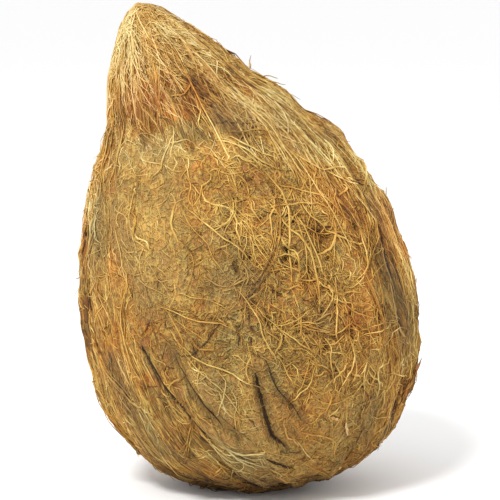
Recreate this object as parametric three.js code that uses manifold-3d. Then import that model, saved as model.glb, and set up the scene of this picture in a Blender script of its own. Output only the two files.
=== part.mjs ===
// A semi-husked coconut. The nut grew as one piece with its coat of coir: an egg-shaped body wrapped in
// husk fibre, with the long fibres of the stalk end left on as a pointed tuft. It stands on a small flat
// spot under the nut, and its long axis leans to -X.
//
// The surface is worked out in the nut's own terms: `height` runs along the long axis from the base pole
// to the tuft's tip, and `turn` goes round it, from +X towards +Y. A turn of -90 degrees faces -Y, the front.
// Lengths are in millimetres and angles in degrees unless a name says otherwise.
import * as THREE from "three";
import { mergeVertices } from "three/addons/utils/BufferGeometryUtils.js";
import Module from "manifold-3d";

const wasm = await Module();
wasm.setup();

// The nut: an egg whose widest section is nearer the base.
const NUT_RADIUS = 53.3;
const NUT_BELOW = 54.6; // base pole to the widest section
const NUT_ABOVE = 79.6; // widest section to where the egg alone would close
const LOBE_SHARE = 0.02; // a coconut's three carpels leave it faintly three-sided
const LOBE_TURN = 30;
const CROWN_SHIFT = 3.3; // the upper half swells to +X of the axis by this much
const CROWN_HEIGHT = 111.6;
const CROWN_SPREAD = 39;

// The tuft: husk fibre that closes round the stalk end in a blunt cone.
const TUFT_RADIUS = 31.6;
const TUFT_ROOT = 110.9;
const TUFT_LENGTH = 50.7;
const TUFT_TAPER = 0.65;
const NECK_BLEND = 6; // how softly the tuft runs into the nut
const TOTAL_LENGTH = TUFT_ROOT + TUFT_LENGTH;

// The collar: on the front left the tuft's fibres were cut short, and stand proud of the matted coir below.
const COLLAR_HEIGHT = 124;
const COLLAR_SLOPE = -0.12; // mm for each degree round from the collar's middle
const COLLAR_LIP = 1.5;
const COLLAR_TURN = -112;
const COLLAR_SPREAD = 48;
const COLLAR_JAG = 2.2;

// Fibre bundles: ridges that run from pole to pole, raised by a few waves round the nut.
const BUNDLE_WAVES = [
  { count: 11, rise: 0.45, phase: 0.4, sway: 1.0, swayLength: 31 },
  { count: 17, rise: 0.5, phase: 2.1, sway: 1.4, swayLength: 23 },
  { count: 23, rise: 0.4, phase: 4.0, sway: 1.7, swayLength: 19 },
];
const TUFT_BUNDLE_RISE = 1.6; // the bundles stand this many times higher in the tuft
const BUNDLE_FADE_RADIUS = 26; // they die out towards the poles, where they run together

// Splits between bundles, each from a low end to a high end given as a turn and a height.
const SPLITS = [
  { low: [-93, 16], high: [-92, 51], depth: 2.4, width: 4.6 },
  { low: [-81, 24], high: [-88, 52], depth: 1.6, width: 4.6 },
  { low: [-108, 28], high: [-120, 70], depth: 1.8, width: 5.2 },
  { low: [-112, 30], high: [-131, 66], depth: 1.6, width: 5.2 },
  { low: [-28, 36], high: [-15, 98], depth: 1.5, width: 5.2 },
  { low: [-168, 62], high: [-162, 104], depth: 1.4, width: 4.6 },
  { low: [34, 26], high: [34, 74], depth: 1.7, width: 3.6 },
  { low: [71, 14], high: [71, 58], depth: 1.9, width: 3.8 },
  { low: [108, 40], high: [108, 98], depth: 1.6, width: 3.6 },
  { low: [146, 20], high: [146, 66], depth: 1.8, width: 3.6 },
];
const SPLIT_END = 9; // length over which a split closes at each end

// Stance.
const LEAN = 20;
const POLE_X = 18.2; // base pole, from the middle of the resting spot
const POLE_Z = 1.3;

// Thick strands of coir stuck to the coat, each sunk at both ends.
const STRAND_RADIUS = 0.8;
const STRAND_SIDES = 3;
const STRAND_STEPS = 7;
const STRAND_SINK = 1.4;
const STRAND_LIFT = 0.55;

// Loose ones wander over the nut on any heading.
const LOOSE_COUNT = 28;
const LOOSE_LENGTH = [22, 44];
const LOOSE_LOWEST = 26;
const LOOSE_HIGHEST = 128;
const LOOSE_HEADING = 1.0; // radians either side of straight down
const LOOSE_BEND = 0.035; // radians for each millimetre
const LOOSE_TURN = 137.508; // from each to the next, which spreads them evenly

// Combed ones run straight down the tuft from near its tip.
const COMBED_COUNT = 14;
const COMBED_LENGTH = [36, 54];
const COMBED_TOP = [4, 11]; // below the tip
const COMBED_HEADING = 0.1;
const COMBED_BEND = 0.004;

// Facets of the coat.
const COLUMNS = 76;
const ROWS = 38;

const radians = THREE.MathUtils.degToRad;

// A repeatable draw between two numbers.
let drawState = 20;
function draw(low, high) {
  drawState = (drawState * 16807) % 2147483647;
  return low + ((high - low) * drawState) / 2147483647;
}

// The larger of two radii, with the corner between them rounded off.
function smoothMax(a, b, reach) {
  const share = Math.max(reach - Math.abs(a - b), 0) / reach;
  return Math.max(a, b) + (share ** 2 * Math.min(a, b, reach)) / 4;
}

// Angle from one turn to another, in degrees, the short way round.
function turnGap(a, b) {
  return THREE.MathUtils.euclideanModulo(a - b + 180, 360) - 180;
}

const bell = (x) => Math.exp(-x * x);

// Radius of the plain outline, before any relief.
function outline(height) {
  const half = height < NUT_BELOW ? NUT_BELOW : NUT_ABOVE;
  const nut = NUT_RADIUS * Math.sqrt(Math.max(0, 1 - ((height - NUT_BELOW) / half) ** 2));
  if (height < NUT_BELOW) return nut;
  const left = THREE.MathUtils.clamp(1 - (height - TUFT_ROOT) / TUFT_LENGTH, 0, 1);
  return smoothMax(nut, TUFT_RADIUS * left ** TUFT_TAPER, NECK_BLEND);
}

function bundleRise(turn, height, radius) {
  let rise = 0;
  for (const wave of BUNDLE_WAVES) {
    const sway = wave.sway * Math.sin(height / wave.swayLength + wave.phase);
    rise += wave.rise * Math.cos(wave.count * radians(turn) + wave.phase + sway);
  }
  const inTuft = THREE.MathUtils.smoothstep(height, TUFT_ROOT, TUFT_ROOT + 16);
  const fade = Math.min(1, radius / BUNDLE_FADE_RADIUS);
  return rise * fade * (1 + (TUFT_BUNDLE_RISE - 1) * inTuft);
}

function collarRise(turn, height) {
  const jag = COLLAR_JAG * Math.sin(radians(turn) * 13) + COLLAR_JAG * Math.sin(radians(turn) * 29 + 1);
  const edge = COLLAR_HEIGHT + COLLAR_SLOPE * turnGap(turn, COLLAR_TURN) + jag;
  const front = bell(turnGap(turn, COLLAR_TURN) / COLLAR_SPREAD);
  const step = THREE.MathUtils.smoothstep(height, edge - 1.5, edge + 2.5);
  const easing = 1 - THREE.MathUtils.smoothstep(height, edge + 6, edge + 26);
  return COLLAR_LIP * front * step * easing;
}

function splitDepth(turn, height, radius) {
  let depth = 0;
  for (const split of SPLITS) {
    const [lowTurn, low] = split.low;
    const [highTurn, high] = split.high;
    const line = THREE.MathUtils.mapLinear(height, low, high, lowTurn, highTurn);
    const across = (radians(turnGap(turn, line)) * radius) / (split.width / 2);
    const opens = THREE.MathUtils.smoothstep(height, low, low + SPLIT_END);
    const closes = 1 - THREE.MathUtils.smoothstep(height, high - SPLIT_END, high);
    depth += split.depth * bell(across) * opens * closes;
  }
  return depth;
}

// A point of the coat, raised above it by `above`, in the part's own frame.
const axis = new THREE.Vector3(-Math.sin(radians(LEAN)), 0, Math.cos(radians(LEAN)));
const across = new THREE.Vector3(Math.cos(radians(LEAN)), 0, Math.sin(radians(LEAN)));
const away = new THREE.Vector3(0, 1, 0);
const pole = new THREE.Vector3(POLE_X, 0, POLE_Z);

function coatPoint(turn, height, above = 0) {
  const plain = outline(height);
  const lobes = 1 + LOBE_SHARE * Math.cos(3 * radians(turn - LOBE_TURN));
  const relief = bundleRise(turn, height, plain) + collarRise(turn, height) - splitDepth(turn, height, plain);
  const radius = plain > 0 ? Math.max(plain * lobes + relief, 0.2) + above : above;
  const shift = CROWN_SHIFT * bell((height - CROWN_HEIGHT) / CROWN_SPREAD);
  return pole
    .clone()
    .addScaledVector(axis, height)
    .addScaledVector(across, shift + radius * Math.cos(radians(turn)))
    .addScaledVector(away, radius * Math.sin(radians(turn)));
}

// Heights, from pole to tip, that cut the outline into rows of equal length along the surface.
function rowHeights() {
  const fine = 4000;
  const heightAt = (i) => (TOTAL_LENGTH * (1 - Math.cos((Math.PI * i) / fine))) / 2;
  const lengths = [0];
  for (let i = 1; i <= fine; i++) {
    const rise = heightAt(i) - heightAt(i - 1);
    const spread = outline(heightAt(i)) - outline(heightAt(i - 1));
    lengths.push(lengths[i - 1] + Math.hypot(rise, spread));
  }
  const heights = [];
  for (let row = 0, i = 0; row <= ROWS; row++) {
    while (i < fine && lengths[i] < (lengths[fine] * row) / ROWS) i++;
    heights.push(heightAt(i));
  }
  return heights;
}

// The coat: the outline turned round the axis, with every vertex then moved to its place in the relief.
function coatGeometry() {
  const heights = rowHeights();
  const profile = heights.map((height) => new THREE.Vector2(outline(height), height));
  const coat = new THREE.LatheGeometry(profile, COLUMNS);
  const places = coat.getAttribute("position");
  for (let i = 0; i < places.count; i++) {
    const turn = (360 * Math.floor(i / heights.length)) / COLUMNS;
    places.setXYZ(i, ...coatPoint(turn % 360, heights[i % heights.length]));
  }
  return coat;
}

// One strand, laid down the coat from a turn and a height. It dives into the coat at both ends.
function strandGeometry({ turn, height, heading, bend, length }) {
  const step = length / STRAND_STEPS;
  const points = [];
  for (let i = 0; i <= STRAND_STEPS; i++) {
    const middle = Math.sin((Math.PI * i) / STRAND_STEPS) ** 0.5;
    points.push(coatPoint(turn, height, -STRAND_SINK + (STRAND_SINK + STRAND_LIFT) * middle));
    height -= step * Math.cos(heading);
    turn += THREE.MathUtils.radToDeg((step * Math.sin(heading)) / Math.max(outline(height), 12));
    heading += bend * step;
  }
  const section = new THREE.Shape();
  for (let side = 0; side < STRAND_SIDES; side++) {
    const angle = (2 * Math.PI * side) / STRAND_SIDES;
    const corner = [STRAND_RADIUS * Math.cos(angle), STRAND_RADIUS * Math.sin(angle)];
    if (side === 0) section.moveTo(...corner);
    else section.lineTo(...corner);
  }
  section.closePath();
  const extrudePath = new THREE.CatmullRomCurve3(points);
  return new THREE.ExtrudeGeometry(section, { steps: STRAND_STEPS, extrudePath });
}

function looseStrand(index) {
  const length = draw(...LOOSE_LENGTH);
  return strandGeometry({
    turn: index * LOOSE_TURN,
    height: draw(LOOSE_LOWEST + length / 2, LOOSE_HIGHEST),
    heading: draw(-LOOSE_HEADING, LOOSE_HEADING),
    bend: draw(-LOOSE_BEND, LOOSE_BEND),
    length,
  });
}

function combedStrand(index) {
  const spacing = 360 / COMBED_COUNT;
  return strandGeometry({
    turn: spacing * (index + draw(-0.3, 0.3)),
    height: TOTAL_LENGTH - draw(...COMBED_TOP),
    heading: draw(-COMBED_HEADING, COMBED_HEADING),
    bend: draw(-COMBED_BEND, COMBED_BEND),
    length: draw(...COMBED_LENGTH),
  });
}

// The ground under the part, which cuts the resting spot flat.
function groundGeometry() {
  const side = 4 * NUT_RADIUS;
  return new THREE.BoxGeometry(side, side, side).translate(0, 0, -side / 2);
}

// A closed three.js geometry as a solid that can be joined and cut.
function solidOf(geometry) {
  const bare = geometry.clone();
  bare.deleteAttribute("normal");
  bare.deleteAttribute("uv");
  const merged = mergeVertices(bare, 1e-4);
  const vertProperties = new Float32Array(merged.getAttribute("position").array);
  const triVerts = new Uint32Array(merged.index.array);
  return new wasm.Manifold(new wasm.Mesh({ numProp: 3, vertProperties, triVerts }));
}

function geometryOf(solid) {
  const mesh = solid.getMesh();
  const geometry = new THREE.BufferGeometry();
  geometry.setAttribute("position", new THREE.Float32BufferAttribute(mesh.vertProperties, 3));
  geometry.setIndex(new THREE.BufferAttribute(mesh.triVerts, 1));
  geometry.computeVertexNormals();
  return geometry;
}

let solid = solidOf(coatGeometry());
for (let index = 0; index < LOOSE_COUNT; index++) solid = solid.add(solidOf(looseStrand(index)));
for (let index = 0; index < COMBED_COUNT; index++) solid = solid.add(solidOf(combedStrand(index)));
solid = solid.subtract(solidOf(groundGeometry()));

const coir = new THREE.MeshStandardMaterial({ color: 0xa98450, roughness: 0.92, metalness: 0 });
const coconut = new THREE.Mesh(geometryOf(solid), coir);
coconut.name = "coconut";

const part = new THREE.Group();
part.add(coconut);
export default part;
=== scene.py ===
import math

import bmesh
import bpy
import numpy as np
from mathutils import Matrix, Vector


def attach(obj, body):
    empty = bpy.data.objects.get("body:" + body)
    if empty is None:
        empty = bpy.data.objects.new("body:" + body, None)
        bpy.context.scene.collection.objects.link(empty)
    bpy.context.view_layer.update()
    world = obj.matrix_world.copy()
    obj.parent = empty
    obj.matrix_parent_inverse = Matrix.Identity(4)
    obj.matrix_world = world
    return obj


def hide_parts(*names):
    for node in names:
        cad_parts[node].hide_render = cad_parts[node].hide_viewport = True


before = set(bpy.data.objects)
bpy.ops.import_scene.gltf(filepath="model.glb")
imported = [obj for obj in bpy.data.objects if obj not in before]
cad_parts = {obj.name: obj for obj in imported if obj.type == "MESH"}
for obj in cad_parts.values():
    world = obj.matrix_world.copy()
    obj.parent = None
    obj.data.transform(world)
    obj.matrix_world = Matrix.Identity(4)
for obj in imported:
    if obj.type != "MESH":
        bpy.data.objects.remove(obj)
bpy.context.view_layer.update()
MM = 0.001

# ---- Husk skin ----
# The matted coat that the fibres lie on: one closed skin with the form of the nut and its tuft, with ridges
# where fibres run in bundles, splits between them, and the fine lumps of matted coir. It is pressed flat
# where the nut rests. `height` runs up the long axis from the base pole and `turn` goes round it.
NUT_RADIUS = 53.3
NUT_BELOW = 54.6  # from the base pole up to the widest section
NUT_ABOVE = 79.6  # from there up to where the nut alone would close
LOBE_SHARE = 0.02  # rise of the three faint lobes, as a share of the radius
LOBE_TURN = 30
CROWN_SHIFT = 3.3  # how far the upper nut stands over to the right
CROWN_HEIGHT = 111.6
CROWN_SPREAD = 39
TUFT_RADIUS = 31.6
TUFT_ROOT = 110.9
TUFT_LENGTH = 50.7
TUFT_TAPER = 0.65
NECK_BLEND = 6  # how far the corner between nut and tuft is rounded
TOTAL_LENGTH = TUFT_ROOT + TUFT_LENGTH
COAT_DROP = 0.7  # the skin lies this far inside the plain outline, under the fibres
COLLAR_HEIGHT = 124
COLLAR_SLOPE = -0.22
COLLAR_LIP = 1.5
COLLAR_TURN = -112
COLLAR_SPREAD = 48
COLLAR_JAG = 2.2
COLLAR_JAGS = (13, 29)  # how many jags of each kind would go round the nut
COLLAR_STEP = (-1.0, 1.5)  # the lip rises between these, measured up from the collar's edge
COLLAR_FADE = (6, 26)  # and dies away between these
# The pale band under the collar's edge is the felt's own tone; the dark band over it is painted shade under
# the tuft's fringe.
COLLAR_SHADE_AND_TONES = [(0.35, -4.5, 3.5), (-0.22, 1.5, 2.5)]  # tone added, height above that edge, spread
TUFT_EDGE = (114, 124)  # heights between which nut turns into tuft away from the collar
TUFT_EDGE_AT_COLLAR = (-2, 0.5)  # the same at the collar, from its edge
COLLAR_SHARES = (0.25, 0.5)  # shares of the collar between which the second takes over from the first
BUNDLE_WAVES = [  # count round the nut, rise, phase, sway, sway length
    (11, 0.45, 0.4, 1.0, 31),
    (17, 0.5, 2.1, 1.4, 23),
    (23, 0.4, 4.0, 1.7, 19),
]
TUFT_BUNDLE_RISE = 1.6
TUFT_BUNDLE_BLEND = 16
BUNDLE_FADE_RADIUS = 26
POLE_FADE_RADIUS = 4  # all relief dies away inside this
SPLITS = [  # route from its low end up in turns and heights; depth, width, gape, fibres painting its shade
    ([(-90, 15), (-95, 25), (-93.5, 37), (-91, 52)], 2.0, 2.8, 0.42, 4),
    ([(-80, 22), (-84, 33), (-87, 40), (-88, 54)], 1.3, 3.2, 0.0, 2),
    ([(-104, 25), (-110, 34), (-115, 48), (-119, 68)], 1.2, 3.4, 0.0, 1),
    ([(-108, 20), (-118, 32), (-122.5, 45), (-126, 54.5), (-131, 70)], 1.25, 1.9, 0.5, 9),
    ([(-90, 10), (-97, 15.5), (-105, 21)], 1.2, 2.6, 0.0, 4),
    ([(-28, 36), (-26, 60), (-15, 98)], 1.4, 3.6, 0.0, 3),
    ([(-168, 62), (-167, 80), (-162, 104)], 1.4, 3.0, 0.0, 3),
    ([(36, 26), (32, 50), (34, 74)], 1.7, 3.0, 0.0, 4),
    ([(68, 14), (73, 36), (70, 58)], 2.0, 3.0, 0.5, 5),
    ([(106, 40), (110, 70), (107, 98)], 1.6, 3.0, 0.0, 3),
    ([(148, 20), (144, 44), (147, 66)], 1.9, 3.0, 0.5, 5),
]
SPLIT_END = 8  # length over which a split closes at each end
SPLIT_REACH = 3.0  # how far off a split its edge is measured
GAPE_LEAST = 0.55  # share of its gape that a split has at its tightest
GAPE_VARIES = 0.9  # and how much more it may have
GAPE_SPOT = 2.6  # length over which it changes
PITS = [  # turn, height, half width, half length, depth
    (-129, 80.5, 0.8, 2.4, 1.3),
    (-150.5, 95, 0.8, 1.8, 1.2),
    (-84, 81, 1.4, 0.7, 1.2),
    (-69, 78.5, 1.0, 1.0, 1.2),
    (-64, 69.5, 1.2, 3.6, 1.6),
    (-60, 87, 1.4, 2.8, 1.0),
    (-69.5, 156, 1.4, 1.2, 1.6),
    (-42, 119, 0.8, 1.2, 1.2),
    (-40, 113, 1.0, 2.6, 1.2),
    (-25.5, 108.5, 0.8, 2.4, 1.3),
    (-29.5, 90, 1.0, 2.8, 1.2),
    (-16.5, 83, 1.4, 3.4, 1.2),
    (-132, 67, 0.8, 1.4, 1.2),
    (-75, 54.5, 1.4, 0.9, 1.1),
    (-59.5, 31, 0.8, 1.6, 1.2),
    (-50.5, 14, 1.8, 1.6, 1.2),
]
SMALL_PIT = 2.3
SMALL_PIT_DEPTH = 1.2
DEEPEST_PIT = 1.6  # the deepest of those above, whose painted shade is the darkest
LUMPS = [(7, 1.0), (3, 0.7)]  # size, and share of the full rise
LUMP_RISE = 1.3
ROUGH_SPOT = 4.5
LEAN = 20
POLE_X = 18.2  # base pole, from the middle of the resting spot
POLE_Z = 1.3
GROUND_SHADE_HEIGHT = 7  # painted shade: the coir is darkest at the ground, where the nut meets the floor, and free of it well above this
GROUND_SHADE_DROP = 0.9
SPLIT_GREY_AND_SHADE = 0.45  # how much greyer the coir is in a split, and how much darker by painted shade
MIDDLE_TONE = 0.5
MIDDLE_WARMTH = 0.46
TONE_SPOT = 10  # spots in which the coir is odd in tone, grey or warmth, by size
GREY_SPOT = 15
WARM_SPOTS = [(17, 5), (6, 2)]  # size, and shift of the noise

# Patches of the surface: each with its turn, height, spread in turn, spread in height and amount. Coir is
# combed along the nut, felted smooth, or tangled where it is neither. It is greyed by weather, warm where
# it is orange, and dark or pale in tone.
COMBED_BASE = 0.3
COMBED_PATCHES = [
    (-14, 80, 26, 60, 0.9),
    (-22, 112, 14, 18, 0.6),
    (-50, 106, 14, 14, -0.4),
    (178, 75, 30, 66, 1.0),
    (-148, 40, 20, 30, 0.9),
    (-122, 38, 12, 22, 0.5),
    (-72, 66, 26, 34, -0.5),
    (40, 100, 30, 40, 0.8),
    (65, 40, 26, 26, -0.5),
    (105, 70, 24, 40, 0.8),
    (140, 100, 26, 26, -0.5),
    (120, 24, 30, 22, 0.6),
]
FELT_PATCHES = [
    (-116, 98, 22, 30, 1.0),
    (-110, 118, 28, 6, 0.6),
    (-38, 112, 13, 9, 0.6),
    (-98, 36, 16, 20, 0.8),
    (-68, 26, 14, 16, 0.7),
    (-88, 12, 50, 12, 0.6),
    (68, 90, 20, 24, 0.8),
    (150, 60, 20, 26, 0.8),
    (20, 34, 20, 18, 0.6),
]
GREY_PATCHES = [
    (-152, 100, 6, 14, 0.8),
    (-65.5, 54.5, 4, 5, 0.7),
    (-112, 120, 30, 3.5, 0.7),
    (-104, 107, 9, 8, 0.35),
    (-114, 84, 7, 8, 0.45),
    (-91, 69, 6, 6, 0.45),
    (-89, 84, 6, 6, 0.25),
    (-93, 34, 9, 14, 0.35),
    (-112, 24, 12, 8, 0.55),
    (-54, 135, 7, 9, 0.3),
    (-46, 125, 8, 6, 0.15),
    (-38, 113, 11, 8, 0.5),
    (-67, 150, 12, 5, 0.25),
    (-27, 50, 5, 15, 0.8),
    (-16, 78, 4, 12, 0.6),
    (-47, 20, 8, 8, 0.55),
    (4, 101, 6, 6, 0.3),
    (48, 60, 6, 18, 0.7),
    (100, 30, 8, 14, 0.6),
    (84, 112, 10, 8, 0.5),
    (160, 92, 6, 14, 0.7),
]
WARM_PATCHES = [
    (-98, 130, 32, 9, 0.8),
    (-36, 123, 5, 6, 0.5),
    (-18, 104, 6, 8, 0.4),
    (-84, 142, 14, 8, 0.4),
    (-64, 128, 10, 8, 0.2),
    (-40, 66, 7, 9, 0.5),
    (-65, 61, 9, 9, 0.35),
    (-47, 59, 8, 10, 0.25),
    (-2, 54, 7, 30, 0.3),
    (-135, 92, 6, 6, 0.4),
    (-77, 22, 12, 8, 0.4),
    (-30, 32, 14, 10, 0.4),
    (-55, 117, 10, 6, 0.2),
    (-121, 70, 8, 8, 0.3),
    (4, 91, 6, 10, 0.3),
    (-58, 143, 9, 10, 0.3),
    (-112, 119, 30, 5, -0.5),
    (-104, 22, 12, 10, -0.3),
    (-99, 53, 10, 10, -0.25),
    (-150, 98, 8, 14, -0.3),
]
# Besides the coir's own darker and paler places, these hold painted light: the first two are painted
# highlights on the tip's upper left and on the tuft's right edge, and those at the right edge (-12, 60) and
# the lower left (-128, 30) lift sides that the lamp leaves dim.
TONE_AND_LIGHT_PATCHES = [
    (-135, 154, 36, 9, 0.55),
    (-15, 128, 14, 12, 0.12),
    (-36, 112, 8, 7, 0.12),
    (-46, 128, 6, 12, 0.1),
    (-168, 66, 20, 32, 0.12),
    (-40, 58, 8, 14, 0.1),
    (-99, 55, 7, 7, -0.12),
    (-50, 84, 12, 9, 0.12),
    (-57, 64, 8, 6, -0.12),
    (-130, 60, 6, 7, -0.14),
    (-85, 42, 12, 12, 0.14),
    (-40, 8, 50, 10, -0.06),
    (-120, 132, 30, 12, 0.26),
    (-168, 134, 16, 16, 0.2),
    (-46, 28, 20, 14, 0.14),
    (-12, 60, 12, 40, 0.26),
    (-128, 30, 18, 18, 0.17),
    (-108, 113, 26, 8, 0.18),
    (-112, 24, 12, 8, 0.25),
]
BANDS = [  # long narrow patches: route as of the splits; half width; what is added to tone and to grey
    ([(-96, 12), (-105, 19), (-112, 25.5), (-118, 35), (-122, 45)], 1.2, 0.5, 0.7),
    ([(-52, 110), (-48, 124), (-49, 138), (-53, 147), (-66, 155)], 2.6, 0.1, 0.0),
    ([(-67, 110), (-70, 124), (-65, 138), (-60, 150)], 3.2, -0.36, 0.1),
    ([(-27, 24), (-30, 45), (-26, 66), (-18, 90)], 2.2, -0.1, 0.6),
    ([(-13, 30), (-12, 50), (-10, 80)], 2.4, 0.15, -0.2),
    ([(-150, 92), (-153, 106), (-158, 118)], 1.6, 0.25, 0.6),
    ([(-37, 70), (-38, 90), (-34, 108)], 1.4, -0.15, 0.3),
    ([(-22, 100), (-25, 114), (-30, 126), (-36, 138)], 1.1, -0.35, 0.3),
    ([(-12, 98), (-15, 110), (-20, 124), (-26, 138)], 0.9, -0.3, 0.2),
    ([(-34, 104), (-36, 118), (-41, 132), (-47, 144)], 0.9, -0.12, 0.0),
    ([(50, 40), (47, 66), (52, 96)], 2.2, -0.15, 0.6),
    ([(128, 30), (131, 60), (126, 96)], 2.2, 0.2, 0.4),
    ([(172, 40), (169, 72), (174, 104)], 1.8, -0.2, 0.5),
]
BAND_END = 7
RISE_PATCHES = [  # swellings and hollows, in millimetres
    (0, 113, 16, 5, -2.2),
    (4, 101, 12, 4, 1.4),
    (4, 76, 12, 5, 0.9),
    (-6, 37, 12, 8, -0.7),
    (-15, 10, 16, 6, 1.8),
    (-50, 8, 36, 7, 2.6),
    (-160, 27, 24, 13, 2.2),
    (-176, 46, 20, 10, 1.2),
]
ROUGH_PATCHES = [  # more height between lumps, in millimetres
    (0, 28, 30, 16, 2.4),
    (2, 92, 16, 22, 1.8),
    (-178, 60, 14, 34, 1.2),
    (80, 20, 30, 14, 2.0),
]

rng = np.random.default_rng(20)
LATTICE = rng.random((48, 48, 48))  # what all noise is read from


def smoothstep(value, low, high):
    share = np.clip((value - low) / (high - low), 0, 1)
    return share * share * (3 - 2 * share)


def bell(x):
    return np.exp(-x * x)


def turn_gap(a, b):
    return (a - b + 180) % 360 - 180


def noise(x, y, z):
    """Smooth noise from 0 to 1, with one lump to each unit."""
    cells = [np.floor(v).astype(int) for v in (x, y, z)]
    shares = [v - cell for v, cell in zip((x, y, z), cells)]
    shares = [s * s * (3 - 2 * s) for s in shares]
    size = len(LATTICE)
    total = 0
    for corner in range(8):
        weight = 1
        place = []
        for axis in range(3):
            far = corner >> axis & 1
            weight = weight * (shares[axis] if far else 1 - shares[axis])
            place.append((cells[axis] + far) % size)
        total = total + weight * LATTICE[tuple(place)]
    return total


def outline(height):
    """The plain radius at a height: an egg-shaped nut and a blunt cone of tuft, smoothly joined."""
    half = np.where(height < NUT_BELOW, NUT_BELOW, NUT_ABOVE)
    nut = NUT_RADIUS * np.sqrt(np.clip(1 - ((height - NUT_BELOW) / half) ** 2, 0, 1))
    left = np.clip(1 - (height - TUFT_ROOT) / TUFT_LENGTH, 0, 1)
    tuft = TUFT_RADIUS * left**TUFT_TAPER
    share = np.maximum(NECK_BLEND - abs(nut - tuft), 0) / NECK_BLEND
    joined = np.maximum(nut, tuft) + share**2 * np.minimum(np.minimum(nut, tuft), NECK_BLEND) / 4
    return np.where(height < NUT_BELOW, nut, joined)


def spots(turn, height, size, shift=0.0):
    """Noise laid over the coat in lumps of `size`."""
    radius, angle = outline(height), np.radians(turn)
    x, y = radius * np.cos(angle), radius * np.sin(angle)
    return noise(x / size + shift, y / size + shift, height / size)


def streaks(turn, height, count=18, length=22):
    """Noise drawn out along the nut, about -0.5 to 0.5."""
    angle = np.radians(turn)
    return noise(count * np.cos(angle), count * np.sin(angle), height / length) - 0.5


def patches(turn, height, places):
    """What the patches add up to, each strongest at its middle."""
    amount = 0
    for patch_turn, patch_height, turn_spread, height_spread, strength in places:
        near = bell(turn_gap(turn, patch_turn) / turn_spread)
        amount = amount + strength * (near * bell((height - patch_height) / height_spread))
    return amount


def collar_edge(turn):
    """The height of the collar's ragged edge."""
    angle = np.radians(turn)
    few, many = COLLAR_JAGS
    jag = COLLAR_JAG * (np.sin(few * angle) + np.sin(many * angle + 1))
    return COLLAR_HEIGHT + COLLAR_SLOPE * turn_gap(turn, COLLAR_TURN) + jag


def collar_share(turn):
    """From 1 where the collar is full to 0 far round from it."""
    return bell(turn_gap(turn, COLLAR_TURN) / COLLAR_SPREAD)


def in_tuft(turn, height):
    """From 0 on the nut to 1 in the tuft, which ends sharply at the collar on the front left."""
    at_collar = smoothstep(collar_share(turn), *COLLAR_SHARES)
    cut = smoothstep(height - collar_edge(turn), *TUFT_EDGE_AT_COLLAR)
    return at_collar * cut + (1 - at_collar) * smoothstep(height, *TUFT_EDGE)


def combing(turn, height):
    """From 0 for tangled coir to 1 for coir combed along the nut, as all of the tuft is."""
    amount = COMBED_BASE + patches(turn, height, COMBED_PATCHES)
    return np.clip(np.maximum(amount, in_tuft(turn, height)), 0, 1)


def felting(turn, height):
    """From 0 for loose coir to 1 for felted coir, of which the tuft has none."""
    return np.clip(patches(turn, height, FELT_PATCHES), 0, 1) * (1 - in_tuft(turn, height))


def along_route(turn, height, radius, route, end):
    """How far off a route a place lies, and a share that is 1 along it and falls to 0 at its ends."""
    turns, heights = zip(*route)
    line = np.interp(height, heights, turns)
    across = abs(np.radians(turn_gap(turn, line)) * radius)
    first, last = heights[0], heights[-1]
    share = smoothstep(height, first, first + end) * (1 - smoothstep(height, last - end, last))
    return across, share


def band(turn, height, part):
    """What the bands add to the tone (part 0) or to the grey (part 1)."""
    total = 0
    for route, half_width, *amounts in BANDS:
        across, share = along_route(turn, height, outline(height), route, BAND_END)
        total = total + amounts[part] * bell(across / half_width) * share
    return total


def split_depth(turn, height, radius):
    """How deep the splits are at a place."""
    depth = 0
    for route, most, width, *_ in SPLITS:
        across, share = along_route(turn, height, radius, route, SPLIT_END)
        depth = depth + most * bell(2 * across / width) * share
    return depth


def split_edge(turn, height, radius):
    """How far a place lies outside the dark gape of the nearest split: negative inside it."""
    nearest = SPLIT_REACH
    for route, _, _, gape, _ in SPLITS:
        across, share = along_route(turn, height, radius, route, SPLIT_END)
        if gape:
            ragged = gape * (GAPE_LEAST + GAPE_VARIES * spots(turn, height, GAPE_SPOT))
            nearest = np.minimum(nearest, across - ragged * share + (1 - share))
    return nearest


def greying(turn, height):
    """How far the coir has weathered to grey: in odd spots, splits, patches and bands."""
    odd = 0.6 * smoothstep(spots(turn, height, GREY_SPOT, 7), 0.62, 0.82)
    in_splits = SPLIT_GREY_AND_SHADE * np.minimum(split_depth(turn, height, outline(height)), 1)
    marked = patches(turn, height, GREY_PATCHES) + band(turn, height, 1)
    return np.clip(np.maximum(np.maximum(odd, in_splits), marked), 0, 1)


def warming(turn, height):
    """From 0 for olive coir to 1 for orange."""
    large, small = [spots(turn, height, *spot) - 0.5 for spot in WARM_SPOTS]
    odd = 0.6 * large + 0.5 * small
    return np.clip(MIDDLE_WARMTH + odd + 0.7 * patches(turn, height, WARM_PATCHES), 0, 1)


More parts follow.
